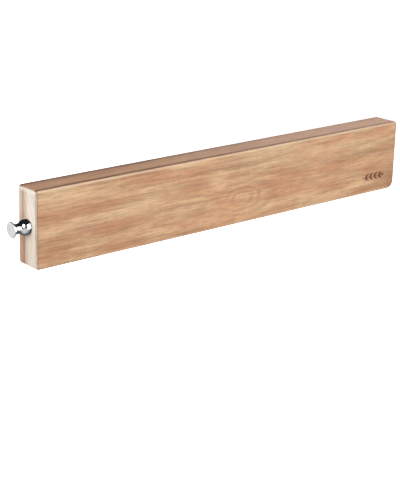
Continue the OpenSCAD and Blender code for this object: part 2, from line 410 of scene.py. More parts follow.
class Wiring:
    """A shader node tree being wired: adds nodes, sets values and links sockets."""

    def __init__(self, tree: bpy.types.NodeTree) -> None:
        """Starts on an empty or fresh tree."""
        self.tree = tree

    def node(self, kind: str, *values: object, **settings: object) -> bpy.types.Node:
        """Adds a node, sets its options and feeds its first inputs in order.

        Args:
            kind: The node's type.
            values: What its first inputs are fed with.
            settings: Its options by name.

        Returns:
            The node.
        """
        made = self.tree.nodes.new(kind)
        for key, value in settings.items():
            setattr(made, key, value)
        for socket, value in zip(made.inputs, values):
            self.feed(socket, value)
        return made

    def feed(self, socket: Socket, value: object) -> None:
        """Links an output to a socket, or sets the socket to a plain value.

        Args:
            socket: The input to be fed.
            value: The output or the plain value.
        """
        if isinstance(value, Socket):
            self.tree.links.new(value, socket)
        else:
            socket.default_value = value

    def math(self, operation: str, *values: object, clamp: bool = False) -> Socket:
        """Adds a math node fed with one to three values and gives its output."""
        return self.node("ShaderNodeMath", *values, operation=operation, use_clamp=clamp).outputs[0]

    def plus(self, first: object, second: object) -> Socket:
        """Adds two values."""
        return self.math("ADD", first, second)

    def minus(self, first: object, second: object) -> Socket:
        """Takes the second value from the first."""
        return self.math("SUBTRACT", first, second)

    def times(self, first: object, second: object) -> Socket:
        """Multiplies two values."""
        return self.math("MULTIPLY", first, second)

    def larger(self, first: object, second: object) -> Socket:
        """Gives the larger of two values."""
        return self.math("MAXIMUM", first, second)

    def vector(self, operation: str, *values: object) -> Socket:
        """Adds a vector math node and gives its vector output."""
        return self.node("ShaderNodeVectorMath", *values, operation=operation).outputs[0]

    def length(self, value: object) -> Socket:
        """Gives the length of a vector."""
        return self.node("ShaderNodeVectorMath", value, operation="LENGTH").outputs["Value"]

    def split(self, value: object) -> tuple[Socket, ...]:
        """Gives the X, Y and Z of a vector."""
        return tuple(self.node("ShaderNodeSeparateXYZ", value).outputs)

    def join(self, x: object, y: object, z: object) -> Socket:
        """Makes a vector of three values."""
        return self.node("ShaderNodeCombineXYZ", x, y, z).outputs[0]

    def between(self, value: object, low: float, high: float) -> Socket:
        """Rises smoothly from 0 at low to 1 at high."""
        made = self.node("ShaderNodeMapRange", value, low, high, interpolation_type="SMOOTHSTEP")
        return made.outputs[0]

    def spread(self, value: object, low: float, high: float) -> Socket:
        """Maps 0 to 1 onto low to high."""
        return self.node("ShaderNodeMapRange", value, 0.0, 1.0, low, high).outputs[0]

    def hump(self, away: object) -> Socket:
        """Gives 1 where a vector is zero, dying away softly as it grows past 1."""
        squared = self.math("POWER", self.length(away), 2.0)
        return self.math("EXPONENT", self.times(squared, -1.0))

    def mix(self, share: object, first: object, second: object, how: str = "MIX") -> Socket:
        """Mixes two colours by a share from 0 to 1.

        Args:
            share: How much of the second colour shows.
            first: The colour underneath.
            second: The colour on top.
            how: The blend, "MIX" or "MULTIPLY".

        Returns:
            The mixed colour's socket.
        """
        made = self.node("ShaderNodeMix", share, data_type="RGBA", blend_type=how, clamp_result=False)
        self.feed(made.inputs[6], first)
        self.feed(made.inputs[7], second)
        return made.outputs[2]

    def lay(self, mask: object, share: float, under: object, over: object) -> Socket:
        """Lays a colour over another where a mask shows, no stronger than a share."""
        return self.mix(self.times(mask, share), under, over)

    def noise(self, place: object, cloud: Cloud) -> Socket:
        """Adds cloudy noise around 0.5.

        Args:
            place: The position that it is read at, in millimetres.
            cloud: The pattern.

        Returns:
            The noise value.
        """
        made = self.node("ShaderNodeTexNoise", self.vector("DIVIDE", place, cloud.size))
        for key, value in (("Scale", 1), ("Detail", cloud.detail), ("Roughness", cloud.rough)):
            made.inputs[key].default_value = value
        return made.outputs[0]

    def mask(self, place: object, cloud: Cloud) -> Socket:
        """Makes a cloud a mask that rises from 0 at its low value to 1 at its high one."""
        return self.between(self.noise(place, cloud), cloud.low, cloud.high)

    def drift(self, place: object, cloud: Cloud) -> Socket:
        """Makes a cloud a value that wanders between its low and its high one."""
        return self.spread(self.noise(place, cloud), cloud.low, cloud.high)

    def effect(self, group: bpy.types.NodeTree, **values: object) -> bpy.types.Node:
        """Places a shared effect and feeds its inputs.

        Args:
            group: The effect.
            values: What each named input is fed with, underscores standing for spaces.

        Returns:
            The node that stands for the effect.
        """
        made = self.node("ShaderNodeGroup", node_tree=group)
        for key, value in values.items():
            self.feed(made.inputs[key.replace("_", " ")], value)
        return made

    def place_mm(self) -> Socket:
        """Gives the object position in millimetres."""
        coordinates = self.node("ShaderNodeTexCoord")
        return self.vector("MULTIPLY", coordinates.outputs["Object"], (1 / MM, 1 / MM, 1 / MM))


class Effect(Wiring):
    """A shared effect being wired: a node group with named inputs and results."""

    def __init__(
        self, name: str, vectors: Sequence[str], floats: Sequence[str], results: Sequence[str]
    ) -> None:
        """Starts the effect.

        Args:
            name: The effect's name.
            vectors: The names of the vectors that it is given.
            floats: The names of the plain values that it is given after them.
            results: The names of the values that it gives.
        """
        super().__init__(bpy.data.node_groups.new(name, "ShaderNodeTree"))
        for labels, way, kind in (
            (vectors, "INPUT", "NodeSocketVector"),
            (floats, "INPUT", "NodeSocketFloat"),
            (results, "OUTPUT", "NodeSocketFloat"),
        ):
            for label in labels:
                self.tree.interface.new_socket(label, in_out=way, socket_type=kind)
        self.given = tuple(self.node("NodeGroupInput").outputs)[: len(vectors) + len(floats)]
        self.results = self.node("NodeGroupOutput").inputs

    def give(self, **values: object) -> bpy.types.NodeTree:
        """Feeds the results.

        Args:
            values: What each named result is fed with.

        Returns:
            The finished effect.
        """
        for label, value in values.items():
            self.feed(self.results[label], value)
        return self.tree


# ---------------------------------------------------------------- the effects

# Lump sizes run along X, Y and Z in the units of the place that a cloud is read at: millimetres, but
# rings for RING_TONES and parts of the handling's size for SMEARS and SPECKLE
SWAY = Cloud((130, 40, 26), 2, -9, 9)
WOBBLE = Cloud((34, 9, 8), 3, -2.6, 2.6)
EYE_DRIFT = Cloud((22, 9, 9), 3, -9, 9)
RING_TONES = Cloud((1, 1, 1), 3, 0.34, 0.7, 0.55)
PATCHES = Cloud((62, 20, 10), 3, 0.31, 0.69, 0.55)
STREAKS = Cloud((48, 6, 1.7), 4, 0.44, 0.66, 0.64)
FIBRE = Cloud((10, 0.85, 0.85), 4, rough=0.68)
PORES = Cloud((3.4, 0.2, 0.2), 1, 0.6, 0.72)
RIPPLE = Cloud((3.4, 30, 13))
VESSELS = Cloud((3, 0.28, 0.28), 2, 0.6, 0.74)
MARK_DRIFT = Cloud((26, 8, 7), 3, -2.5, 2.5)
EDGE_CHIPS = Cloud((2.6, 0.9, 0.9), 3, 0.2, 0.55)
LINE_BREAKS = Cloud((16, 3, 3), 3, 0.75, 1.35)
SMEARS = Cloud((1, 0.6, 0.6), 3, 0.35, 0.7)
SPECKLE = Cloud((0.05, 0.05, 0.05))
SCORCH = Cloud((3, 1, 0.6), 3, 0.3, 0.7)
CHAR = Cloud((1.4, 0.3, 0.3), 3)
FACING_RINGS = Cloud((0.16, 1, 1), 3, rough=0.6)
MOTTLE = Cloud((2.2, 2.2, 2.2), 4, 0.35, 0.65, 0.6)
PAPER = Cloud((400, 400, 400))


@dataclass(frozen=True)
class Growth:
    """How the growth rings look, in parts of one ring unless a field says otherwise."""

    late_start: Pair = (0.25, 0.88)
    late_stop: Pair = (1.0, 0.9)
    tone_run_mm: float = 170.0
    tone_spread: float = 0.7
    tone_share: float = 0.66
    eye_contrast: Pair = (0.38, 0.8)
    eye_wobble: float = 0.7


@dataclass(frozen=True)
class Lines:
    """Where the painted shade and highlight lines on the bar's long edges lie.

    Each pair says where a line starts and where it is full, in millimetres from the face that it is
    measured from, or along the bar for a run. A share pair is its strength at the two ends of a run.
    """

    top: Pair = (1.0, 0.3)
    shade_height: Pair = (1.15, 0.6)
    front_start: Pair = (0.1, 0.45)
    front_stop: Pair = (3.3, 2.0)
    front_run: Pair = (-60, 170)
    front_share: Pair = (0.85, 0.62)
    back_reach: Pair = (5.5, 0.3)
    back_run: Pair = (150, -110)
    end_depth: Pair = (1.5, 0.9)
    end_reach: Pair = (2.2, 1.2)
    end_share: float = 0.5
    highlight_depth: Pair = (1.0, 0.5)
    highlight_height: Pair = (2.6, 1.6)


def wood_figure(growth: Growth = Growth()) -> bpy.types.NodeTree:
    """Growth rings round a pith line, with one eye, plus colour patches, fibres and pores.

    Args:
        growth: How the rings look.

    Returns:
        The effect.
    """
    w = Effect(
        "Wood figure", ("Place", "Shift", "Pith", "Eye", "Eye size"), ("Eye depth", "Ring"),
        ("Rings", "Patches", "Streaks", "Fibre", "Pores", "Ripple"),
    )
    place, shift, pith, eye, eye_size, eye_depth, ring = w.given
    moved = w.vector("ADD", place, shift)
    sway = w.drift(moved, SWAY)
    wobble = w.drift(moved, WOBBLE)
    _, deep, high = w.split(w.vector("SUBTRACT", place, pith))
    high = w.plus(high, w.plus(sway, wobble))
    radius = w.length(w.join(0.0, deep, high))
    drift = w.join(w.drift(moved, EYE_DRIFT), 0.0, w.times(wobble, growth.eye_wobble))
    from_eye = w.vector("ADD", w.vector("SUBTRACT", place, eye), drift)
    dip = w.hump(w.vector("DIVIDE", from_eye, eye_size))
    radius = w.minus(radius, w.times(dip, eye_depth))
    count = w.math("DIVIDE", radius, ring)
    x, _, _ = w.split(moved)
    tones = w.noise(w.join(w.math("DIVIDE", x, growth.tone_run_mm), count, 0.0), RING_TONES)
    part = w.math("FRACT", w.plus(count, w.times(tones, growth.tone_spread)))
    late = w.times(w.between(part, *growth.late_start), w.between(part, *growth.late_stop))
    late = w.times(late, w.spread(dip, *growth.eye_contrast))
    bands = w.times(w.between(tones, RING_TONES.low, RING_TONES.high), growth.tone_share)
    return w.give(
        Rings=w.plus(bands, late), Patches=w.mask(moved, PATCHES), Streaks=w.mask(moved, STREAKS),
        Fibre=w.noise(moved, FIBRE), Pores=w.mask(moved, PORES), Ripple=w.noise(moved, RIPPLE),
    )


def edge_wear() -> bpy.types.NodeTree:
    """A mask that rises towards the edges of a box.

    Returns:
        The effect.
    """
    w = Effect("Edge wear", ("Place", "Centre", "Half"), ("Width",), ("Mask",))
    place, centre, half, width = w.given
    inside = w.vector("SUBTRACT", half, w.vector("ABSOLUTE", w.vector("SUBTRACT", place, centre)))
    near = [
        w.math("SUBTRACT", 1.0, w.math("DIVIDE", part, width), clamp=True) for part in w.split(inside)
    ]
    pairs = [w.math("MINIMUM", near[i], near[(i + 1) % 3]) for i in range(3)]
    edge = w.larger(pairs[0], w.larger(pairs[1], pairs[2]))
    return w.give(Mask=w.times(edge, w.mask(place, EDGE_CHIPS)))


def arris_lines(lines: Lines = Lines()) -> bpy.types.NodeTree:
    """The bar's top face mask, painted shade lines along its top edges, and a painted highlight line in
    front of them.

    The painted shade line at the back is widest at the left end and fades out towards the right end.

    Args:
        lines: Where the lines lie.

    Returns:
        The effect.
    """
    w = Effect("Arris lines", ("Place", "Centre", "Half"), (), ("Light", "Dark", "Top"))
    place, centre, half = w.given
    x, y, z = w.split(w.vector("SUBTRACT", place, centre))
    half_x, half_y, half_z = w.split(half)
    below_top = w.minus(half_z, z)
    behind_front = w.plus(y, half_y)
    before_back = w.minus(half_y, y)
    from_end = w.minus(half_x, w.math("ABSOLUTE", x))
    # Painted shade lines: along the top-front edge, along the top-back edge and at the end's front edge.
    front = w.times(
        w.between(behind_front, *lines.front_start), w.between(behind_front, *lines.front_stop)
    )
    front = w.times(front, w.spread(w.between(x, *lines.front_run), *lines.front_share))
    back = w.times(w.between(before_back, *lines.back_reach), w.between(x, *lines.back_run))
    along_top = w.times(w.between(below_top, *lines.shade_height), w.larger(front, back))
    end = w.times(w.between(behind_front, *lines.end_depth), w.between(from_end, *lines.end_reach))
    dark = w.larger(along_top, w.times(end, lines.end_share))
    # Painted highlight line on the front face just below the top edge.
    pale = w.times(
        w.between(behind_front, *lines.highlight_depth), w.between(below_top, *lines.highlight_height)
    )
    breaks = w.drift(place, LINE_BREAKS)
    return w.give(
        Light=w.times(pale, breaks), Dark=w.times(dark, breaks), Top=w.between(below_top, *lines.top)
    )


def handling() -> bpy.types.NodeTree:
    """Soft smears and a fine speckle left by hands and cloths.

    Returns:
        The effect.
    """
    w = Effect("Handling", ("Place",), ("Size",), ("Smears", "Speckle"))
    place, size = w.given
    scaled = w.vector("DIVIDE", place, w.join(size, size, size))
    return w.give(Smears=w.mask(scaled, SMEARS), Speckle=w.noise(scaled, SPECKLE))


def soft_mark(stretch: float = 4) -> bpy.types.NodeTree:
    """A soft oval patch with a drifting outline, for one streak or stain in the wood.

    Args:
        stretch: How much further the outline drifts along X than along Z.

    Returns:
        The effect.
    """
    w = Effect("Soft mark", ("Place", "Centre", "Size"), (), ("Mask",))
    place, centre, size = w.given
    drift = w.drift(place, MARK_DRIFT)
    away = w.vector("ADD", w.vector("SUBTRACT", place, centre), w.join(w.times(drift, stretch), 0.0, drift))
    return w.give(Mask=w.hump(w.vector("DIVIDE", away, size)))


@dataclass
class Effects:
    """The shared effects, each a node group built once."""

    figure: bpy.types.NodeTree = field(default_factory=wood_figure)
    edges: bpy.types.NodeTree = field(default_factory=edge_wear)
    arris: bpy.types.NodeTree = field(default_factory=arris_lines)
    handling: bpy.types.NodeTree = field(default_factory=handling)
    mark: bpy.types.NodeTree = field(default_factory=soft_mark)


# --------------------------------------------------------------- the finishes


class Surface:
    """A material with one Principled shader, wired by a finish."""

    def __init__(self, name: str, **plain: object) -> None:
        """Starts the material.

        Args:
            name: The material's name.
            plain: The shader's plain values by name, underscores standing for spaces.
        """
        self.material = bpy.data.materials.new(name)
        self.material.use_nodes = True
        self.wiring = Wiring(self.material.node_tree)
        self.shader = self.material.node_tree.nodes["Principled BSDF"]
        self.feed(**plain)

    def feed(self, **values: object) -> None:
        """Feeds the shader's sockets, underscores standing for spaces."""
        for key, value in values.items():
            self.wiring.feed(self.shader.inputs[key.replace("_", " ")], value)

    def bump(self, height: object, distance: float, strength: float = 0.5) -> None:
        """Raises the surface by a height value.

        Args:
            height: The height, from 0 to 1.
            distance: How far 1 stands up, in millimetres.
            strength: How much of it shows.
        """
        made = self.wiring.node("ShaderNodeBump")
        for key, value in (("Strength", strength), ("Distance", distance * MM), ("Height", height)):
            self.wiring.feed(made.inputs[key], value)
        self.feed(Normal=made.outputs[0])


@dataclass(frozen=True)
class Mark:
    """One streak or stain in a board's face: its centre and size in millimetres, colour and strength."""

    centre: Triple
    size: Triple
    colour: Colour
    share: float


@dataclass(frozen=True)
class Wood:
    """Oiled hardwood: its colours, the run of its rings, how its ends and edges look, and the shade, sheen
    and highlights painted on its top and edges.

    Lengths are in millimetres. A pair says where something starts and where it is full, or how strong
    it is at its two ends.
    """

    name: str
    light: Colour
    warm: Colour
    late: Colour
    # The pore colour also paints the shade lines along the edges.
    pore_and_shade: Colour
    end: Colour
    end_high: Colour
    end_late: Colour
    # Worn edges and the painted highlight line share the next colour; the one after it paints the sheen on
    # the top face.
    rubbed_and_highlight: Colour
    top_sheen: Colour
    shift: Triple
    pith: Triple
    ring: float
    eye: Triple = (0, 0, 0)
    eye_size: Triple = (30, 30, 12)
    eye_depth: float = 0
    marks: tuple[Mark, ...] = ()
    ring_share: float = 0.5
    streak_share: float = 0.42
    pore_share: float = 0.3
    fibre_tones: Pair = (0.5, 1.5)
    ripple_tones: Pair = (-0.07, 0.07)
    worn_width: float = 2.2
    worn_share: float = 0.2
    # Strengths of the painted highlight line and shade lines, the painted shade on the top face, and where
    # and how strongly the painted sheen lies along the top:
    highlight_line: float = 0.25
    shade_line: float = 0.8
    top_shade_share: float = 0.7
    sheen_run: Pair = (-150, 120)
    sheen_share: Pair = (0.25, 0.9)
    end_skin: Pair = (1.1, 0.35)
    end_heights: Pair = (-4.0, 18.0)
    end_rings: float = 0.4
    end_pores: float = 0.25
    # The painted shade line at the end's front edge and the painted highlight along the end's top edge:
    end_shade_line: float = 0.9
    end_highlight: Colour = tint("fff9f0")
    end_highlight_depth: Pair = (4.5, 1.2)
    end_highlight_share: float = 0.6
    joint_y: float = -7.0
    soak_reach: Pair = (6.5, 0.6)
    soak_share: Pair = (0.0, 0.5)
    seam_reach: Pair = (0.55, 0.15)
    seam_heights: Pair = (14, -10)
    seam_share: Pair = (0.12, 0.55)
    smear_size: float = 24.0
    smear_part: float = 0.4
    pore_part: float = 0.6
    gloss: Pair = (0.46, 0.66)
    relief: float = 0.05

    def _face(
        self, w: Wiring, effects: Effects, place: Socket, figure: object, arris: object, edge: Socket
    ) -> Socket:
        """Mixes the colour of the long faces, with painted shade and sheen on the top face and painted
        highlight and shade lines along the edges.

        Args:
            w: The material's wiring.
            effects: The shared effects.
            place: The position in millimetres.
            figure: The wood figure's results.
            arris: The top-face mask and the painted highlight and shade lines.
            edge: The mask of the worn edges.

        Returns:
            The colour.
        """
        x, _, _ = w.split(place)
        # Over the top face the colour is also pushed to the warm tone: painted shade on the top face.
        base = w.mix(
            w.larger(figure["Patches"], w.times(arris["Top"], self.top_shade_share)), self.light, self.warm
        )
        base = w.lay(figure["Rings"], self.ring_share, base, self.late)
        base = w.lay(figure["Streaks"], self.streak_share, base, self.late)
        for mark in self.marks:
            mask = w.effect(effects.mark, Place=place, Centre=mark.centre, Size=mark.size).outputs[0]
            base = w.lay(mask, mark.share, base, mark.colour)
        # Painted sheen: the top face turns paler towards the right end.
        sheen_mask = w.times(arris["Top"], w.spread(w.between(x, *self.sheen_run), *self.sheen_share))
        base = w.mix(sheen_mask, base, self.top_sheen)
        base = w.lay(figure["Pores"], self.pore_share, base, self.pore_and_shade)
        shade = w.plus(
            w.spread(figure["Fibre"], *self.fibre_tones), w.spread(figure["Ripple"], *self.ripple_tones)
        )
        base = w.mix(1.0, base, w.join(shade, shade, shade), "MULTIPLY")
        base = w.lay(edge, self.worn_share, base, self.rubbed_and_highlight)
        # Painted highlight line below the top edge, then painted shade lines along the top edges.
        base = w.lay(arris["Light"], self.highlight_line, base, self.rubbed_and_highlight)
        return w.lay(arris["Dark"], self.shade_line, base, self.pore_and_shade)

    def _end_grain(
        self, w: Wiring, place: Socket, half_height: float, figure: object, arris: object
    ) -> Socket:
        """Mixes the colour of the sawn ends: paler towards the top, darker at the glue line, with a painted
        highlight along the top edge and a painted shade line at the front edge.

        Args:
            w: The material's wiring.
            place: The position in millimetres.
            half_height: Half the bar's height, in millimetres.
            figure: The wood figure's results.
            arris: The top-face mask and the painted highlight and shade lines.

        Returns:
            The colour.
        """
        _, y, z = w.split(place)
        glue = w.math("ABSOLUTE", w.minus(y, self.joint_y))
        soaked = w.spread(w.between(glue, *self.soak_reach), *self.soak_share)
        deep = w.plus(w.times(figure["Rings"], self.end_rings), soaked)
        seam = w.times(
            w.between(glue, *self.seam_reach),
            w.spread(w.between(z, *self.seam_heights), *self.seam_share),
        )
        # rim: a painted highlight along the end face's top edge.
        rim = w.between(z, *(half_height - depth for depth in self.end_highlight_depth))
        grain = w.mix(w.between(z, *self.end_heights), self.end, self.end_high)
        grain = w.mix(deep, grain, self.end_late)
        grain = w.lay(w.mask(place, VESSELS), self.end_pores, grain, self.pore_and_shade)
        grain = w.mix(seam, grain, self.pore_and_shade)
        grain = w.lay(rim, self.end_highlight_share, grain, self.end_highlight)
        # Painted shade line at the end face's front edge.
        return w.lay(arris["Dark"], self.end_shade_line, grain, self.pore_and_shade)

    def make(self, effects: Effects, low: Vector, high: Vector) -> bpy.types.Material:
        """Wires the wood for a board.

        Args:
            effects: The shared effects.
            low: The whole bar's lowest corner, in metres.
            high: The whole bar's highest corner, in metres.

        Returns:
            The material.
        """
        surface = Surface(self.name, Specular_IOR_Level=0.35)
        w = surface.wiring
        place = w.place_mm()
        figure = w.effect(
            effects.figure, Place=place, Shift=self.shift, Pith=self.pith, Eye=self.eye,
            Eye_size=self.eye_size, Eye_depth=self.eye_depth, Ring=self.ring,
        ).outputs
        centre = tuple((low + high) / 2 / MM)
        half = tuple((high - low) / 2 / MM)
        box = {"Place": place, "Centre": centre, "Half": half}
        edge = w.effect(effects.edges, **box, Width=self.worn_width).outputs[0]
        arris = w.effect(effects.arris, **box).outputs
        x, _, _ = w.split(place)
        end = w.between(w.math("ABSOLUTE", x), *(half[0] - depth for depth in self.end_skin))
        face = self._face(w, effects, place, figure, arris, edge)
        surface.feed(Base_Color=w.mix(end, face, self._end_grain(w, place, half[2], figure, arris)))
        hands = w.effect(effects.handling, Place=place, Size=self.smear_size).outputs
        worn = w.plus(w.times(hands["Smears"], self.smear_part), w.times(figure["Pores"], self.pore_part))
        surface.feed(Roughness=w.spread(worn, *self.gloss))
        surface.bump(w.minus(figure["Fibre"], figure["Pores"]), self.relief)
        return surface.material


@dataclass(frozen=True)
class Burn:
    """Wood darkened by engraving."""

    name: str
    dark: Colour
    pale: Colour
    relief: float = 0.06

    def make(self) -> bpy.types.Material:
        """Wires the burnt wood.

        Returns:
            The material.
        """
        surface = Surface(self.name, Roughness=0.8, Specular_IOR_Level=0.2)
        w = surface.wiring
        place = w.place_mm()
        surface.feed(Base_Color=w.mix(w.mask(place, SCORCH), self.dark, self.pale))
        surface.bump(w.noise(place, CHAR), self.relief, 0.6)
        return surface.material


@dataclass(frozen=True)
class Finish:
    """A hard finish: two colours, its range of roughness, and how its wear is made up."""

    name: str
    colour: Colour
    stain: Colour
    gloss: Pair

    def _complete(
        self, surface: Surface, stained: Socket, worn: Socket, height: Socket, relief: float,
        strength: float = 0.5,
    ) -> bpy.types.Material:
        """Feeds the colour, the roughness and the relief.

        Args:
            surface: The material being made.
            stained: How much the stain's colour shows.
            worn: How rough the surface is within its range.
            height: The relief's height.
            relief: How far a height of 1 stands up, in millimetres.
            strength: How much of the relief shows.

        Returns:
            The material.
        """
        w = surface.wiring
        surface.feed(Base_Color=w.mix(stained, self.colour, self.stain))
        surface.feed(Roughness=w.spread(worn, *self.gloss))
        surface.bump(height, relief, strength)
        return surface.material


class Lay(Enum):
    """The way that a metal's fine lines run: their size along X, Y and Z in millimetres."""

    ALONG = (60.0, 0.4, 0.4)
    UPRIGHT = (0.5, 0.5, 40.0)
    ROUND = (0.12, 40.0, 40.0)
    EVEN = (0.6, 0.6, 0.6)


@dataclass(frozen=True)
class Metal(Finish):
    """A metal finish with the fine lines left by rolling or turning."""

    lay: Lay = Lay.EVEN
    lines: float = 0.01
    metallic: float = 1.0
    smear_size: float = 9.0
    stain_share: float = 0.5
    smear_part: float = 0.6
    line_part: float = 0.4
    speckle_part: float = 0.3

    def make(self, effects: Effects) -> bpy.types.Material:
        """Wires the metal.

        Args:
            effects: The shared effects.

        Returns:
            The material.
        """
        surface = Surface(self.name, Metallic=self.metallic)
        w = surface.wiring
        place = w.place_mm()
        hands = w.effect(effects.handling, Place=place, Size=self.smear_size).outputs
        lines = w.noise(place, Cloud(self.lay.value, 3, rough=0.6))
        worn = w.plus(w.times(hands["Smears"], self.smear_part), w.times(lines, self.line_part))
        height = w.plus(lines, w.times(hands["Speckle"], self.speckle_part))
        return self._complete(
            surface, w.times(hands["Smears"], self.stain_share), worn, height, self.lines
        )


@dataclass(frozen=True)
class Facing(Finish):
    """A metal disc faced on a lathe, with fine rings round its centre."""

    metallic: float = 1.0
    smear_size: float = 5.0
    relief: float = 0.02

    def make(self, effects: Effects, centre: Vector) -> bpy.types.Material:
        """Wires the faced metal.

        Args:
            effects: The shared effects.
            centre: The disc's middle, in metres.

        Returns:
            The material.
        """
        surface = Surface(self.name, Metallic=self.metallic)
        w = surface.wiring
        place = w.place_mm()
        _, y, z = w.split(w.vector("SUBTRACT", place, tuple(centre / MM)))
        rings = w.noise(w.join(w.length(w.join(0.0, y, z)), 0.0, 0.0), FACING_RINGS)
        hands = w.effect(effects.handling, Place=place, Size=self.smear_size).outputs
        shade = w.plus(w.times(hands["Smears"], 0.5), w.times(rings, 0.5))
        height = w.plus(rings, w.times(hands["Speckle"], 0.5))
        return self._complete(surface, shade, shade, height, self.relief)


@dataclass(frozen=True)
class Plain(Finish):
    """A moulded or pressed finish with a soft mottle and a fine tooth."""

    tooth: float = 0.02
    smear_size: float = 6.0

    def make(self, effects: Effects) -> bpy.types.Material:
        """Wires the finish.

        Args:
            effects: The shared effects.

        Returns:
            The material.
        """
        surface = Surface(self.name)
        w = surface.wiring
        place = w.place_mm()
        hands = w.effect(effects.handling, Place=place, Size=self.smear_size).outputs
        mottle = w.mask(place, MOTTLE)
        height = w.plus(mottle, hands["Speckle"])
        return self._complete(surface, mottle, hands["Smears"], height, self.tooth, 0.6)


DARK_STREAK = tint("85532f")
PALE_STREAK = tint("e6c396")
RED_STREAK = tint("cf9468")
# In both woods the pale worn-edge colour also paints the highlight line, the pore colour also paints the
# shade lines, and one pale colour is the painted sheen on the top face.
FRONT_WOOD = Wood(
    name="front_wood", light=tint("dcb88d"), warm=tint("c69069"), late=tint("8c5a38"),
    pore_and_shade=tint("5d3822"), end=tint("eee1d1"), end_high=tint("f8efe3"), end_late=tint("c4a285"),
    rubbed_and_highlight=tint("f0d9b8"), top_sheen=tint("d9b49d"), shift=(310, 40, 75), pith=(0, 34, -9), ring=3.0,
    ring_share=0.37, eye=(8, -21.5, -8.8), eye_size=(20, 40, 10.5), eye_depth=8.5,
    marks=(
        Mark((4, -21.5, 17.5), (38, 30, 2.6), DARK_STREAK, 0.5),
        Mark((-8, -21.5, -15), (18, 30, 12), RED_STREAK, 0.6),
        Mark((176, -21.5, -19), (24, 30, 9), DARK_STREAK, 0.6),
        Mark((-166, -21.5, -17), (17, 30, 9), DARK_STREAK, 0.26),
        Mark((150, -21.5, 7), (30, 30, 2.6), DARK_STREAK, 0.32),
        Mark((-150, -21.5, 19), (26, 30, 7), PALE_STREAK, 0.4),
        Mark((-17, -21.5, 9), (11, 30, 6), PALE_STREAK, 0.5),
        Mark((100, -21.5, 16), (44, 30, 5), PALE_STREAK, 0.4),
        Mark((70, -21.5, -12), (36, 30, 9), RED_STREAK, 0.35),
    ),
)
BACK_WOOD = Wood(
    name="back_wood", light=tint("d2a988"), warm=tint("bd8766"), late=tint("7f5237"),
    pore_and_shade=tint("4d3020"), end=tint("d0ad93"), end_high=tint("f6e6d6"), end_late=tint("a07258"),
    rubbed_and_highlight=tint("cfa884"), top_sheen=tint("d2ad98"), shift=(-120, 210, 33), pith=(0, -46, 14), ring=3.6,
)
BURN = Burn("burnt_mark", tint("6b4028"), tint("8f5f40"))
CHROME = Metal("peg_chrome", tint("e6e8ea"), tint("d2d6da"), (0.04, 0.11), Lay.ROUND, 0.004)
SATIN = Facing("peg_satin_face", tint("e8e9ea"), tint("d0d3d6"), (0.35, 0.55), 0.12)
ZINC = Metal("hanger_zinc", tint("c6cacd"), tint("9da3a8"), (0.34, 0.56), Lay.UPRIGHT, 0.02, 0.7)
SCREW = Metal("screw_zinc", tint("d6d0b4"), tint("a59c78"), (0.28, 0.48), Lay.EVEN, 0.015, 0.75)
STRIP = Metal("strip_steel", tint("8f9296"), tint("5d5f63"), (0.38, 0.6), Lay.ALONG, 0.02)
STUD = Metal("stud_steel", tint("a5a9ad"), tint("74787c"), (0.25, 0.45), Lay.EVEN, 0.01)
BRASS = Metal("insert_brass", tint("d4aa56"), tint("9c7434"), (0.22, 0.42), Lay.ROUND, 0.015)
FERRITE = Plain("magnet_ferrite", tint("38383b"), tint("47474a"), (0.55, 0.78), 0.06)
NYLON = Plain("washer_nylon", tint("e9e7e0"), tint("dcd8cc"), (0.4, 0.55), 0.02)


# -------------------------------------------------------------- the sub-assemblies


